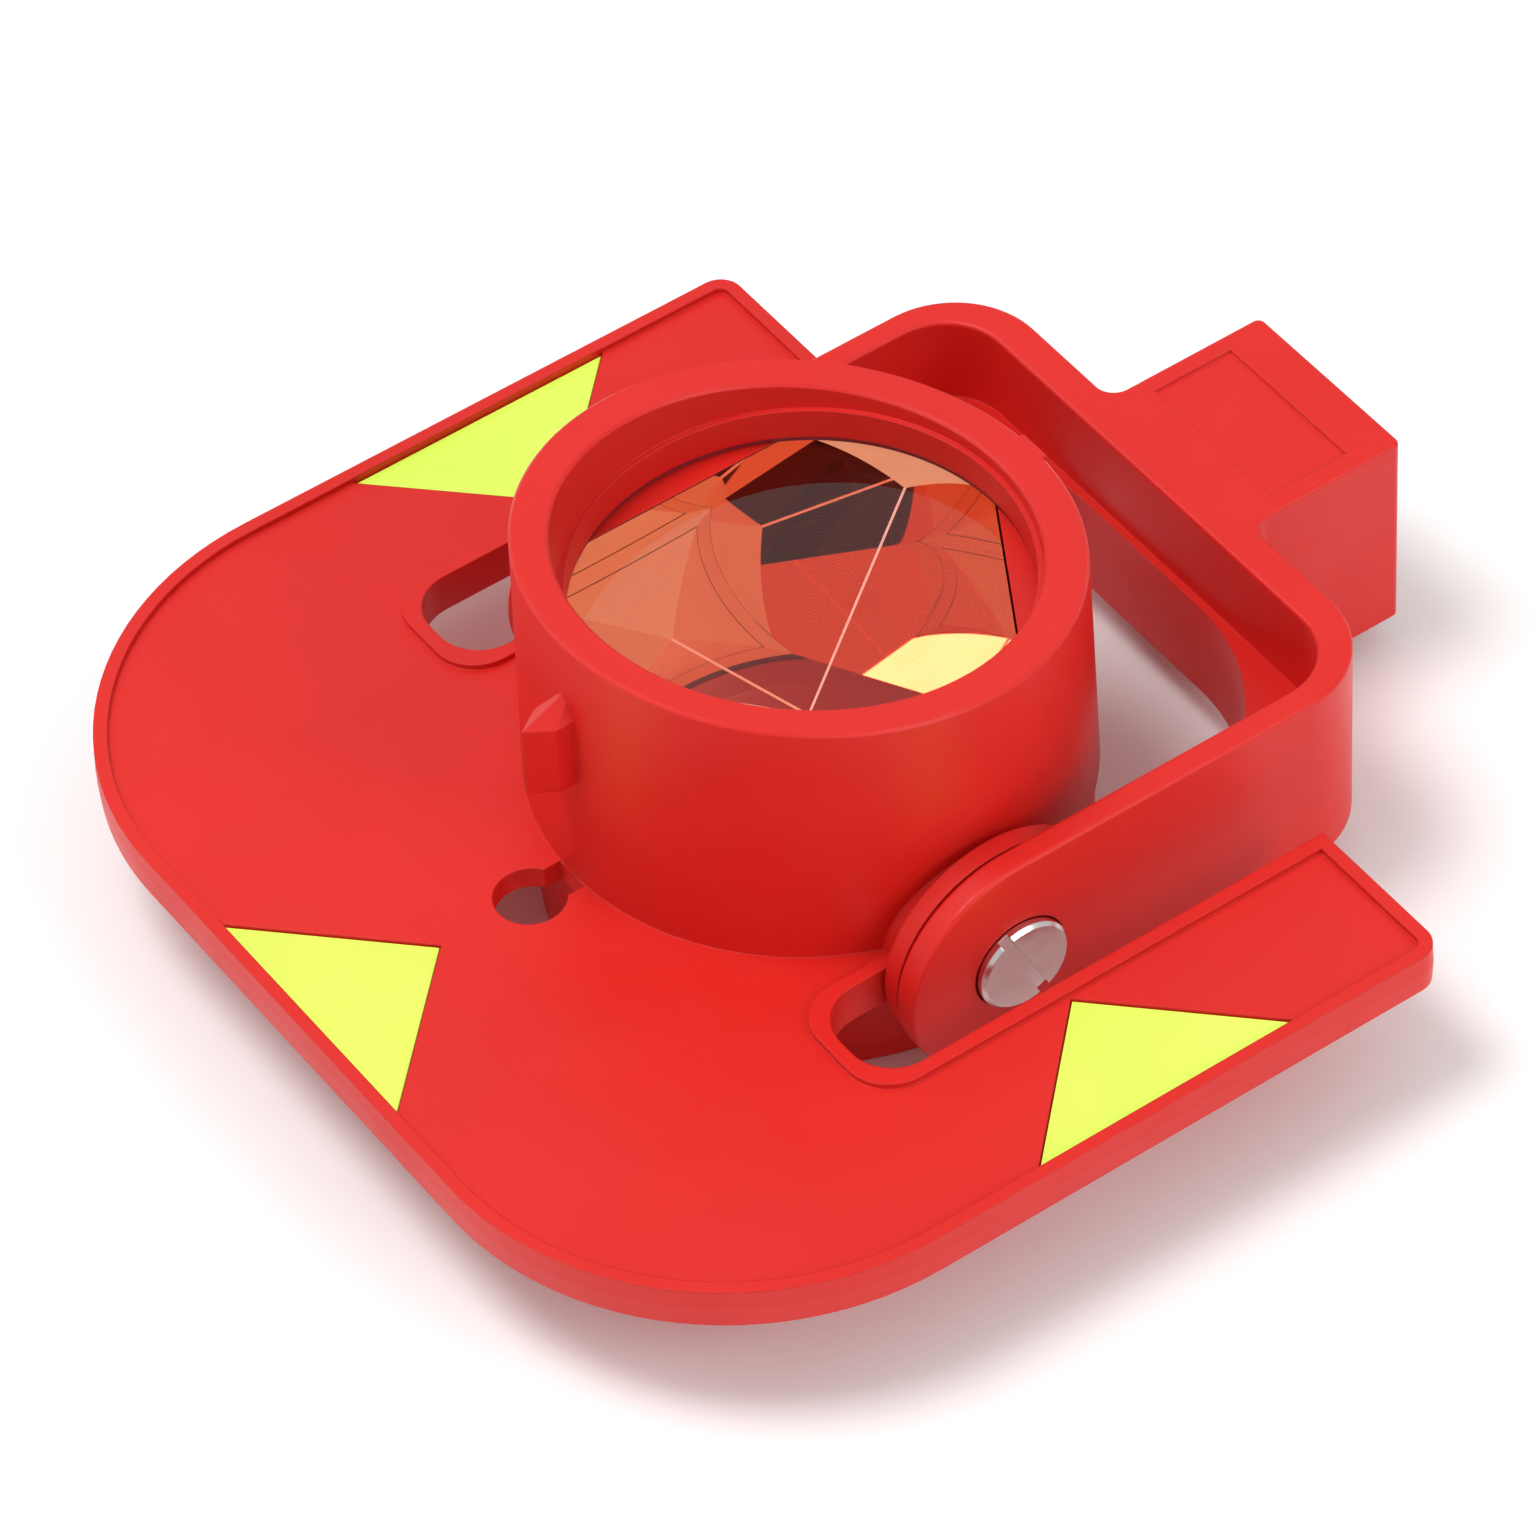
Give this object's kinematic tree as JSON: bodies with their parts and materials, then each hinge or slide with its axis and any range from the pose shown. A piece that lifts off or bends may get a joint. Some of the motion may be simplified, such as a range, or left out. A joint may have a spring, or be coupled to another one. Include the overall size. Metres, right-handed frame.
{
  "type": "survey prism",
  "caption": "Round corner-cube survey prism in a red target plate with a hood, tilting in a U-shaped yoke with a socket for a 12 mm spigot.",
  "frame": {"origin": "where the optical axis meets the flat rear cover, on which the prism lies", "axes": "+Z along the optical axis out of the hood, +X along the tilt axis, +Y out of the spigot socket's mouth"},
  "size_m": [0.1584, 0.1668, 0.0644],
  "materials": {
    "red_polymer": "satin, fine moulded grain",
    "coated_glass": "polished front, copper-coated facets",
    "dark_polymer": "satin",
    "foam": "matt",
    "seal_rubber": "satin",
    "marker_film": "fluorescent, smooth",
    "washer_polymer": "smooth",
    "insert_brass": "turned",
    "plain_steel": "bright turned"
  },
  "bodies": {
    "target": {"target_body": "red_polymer", "prism_glass": "coated_glass", "front_seal": "seal_rubber", "prism_cradle": "dark_polymer", "facet_pads": "foam", "wave_washer": "plain_steel", "rear_cover": "red_polymer", "cover_screws": "plain_steel", "marker_top": "marker_film", "marker_left": "marker_film", "marker_right": "marker_film", "thread_insert_left": "insert_brass", "thread_insert_right": "insert_brass", "friction_washer_left": "washer_polymer", "friction_washer_right": "washer_polymer", "spring_washer_left": "plain_steel", "spring_washer_right": "plain_steel", "pivot_screw_left": "plain_steel", "pivot_screw_right": "plain_steel"},
    "yoke": {"yoke": "red_polymer", "socket_bush": "plain_steel", "button_keeper": "dark_polymer", "keeper_screws": "plain_steel"},
    "button": {"release_button": "dark_polymer", "latch_plate": "plain_steel", "latch_spring": "plain_steel"}
  },
  "joints": [
    {"name": "tilt_hinge", "type": "hinge", "parent": "target", "child": "yoke", "pos_m": [0, 0, 0.02], "axis": [1, 0, 0], "range_deg": [-140, 108]},
    {"name": "button_press", "type": "slide", "parent": "yoke", "child": "button", "axis": [0, 0, 1], "range_m": [0, 0.0012], "stiffness_N_per_m": 600, "springref_m": -0.003, "deforming": ["latch_spring"]}
  ]
}
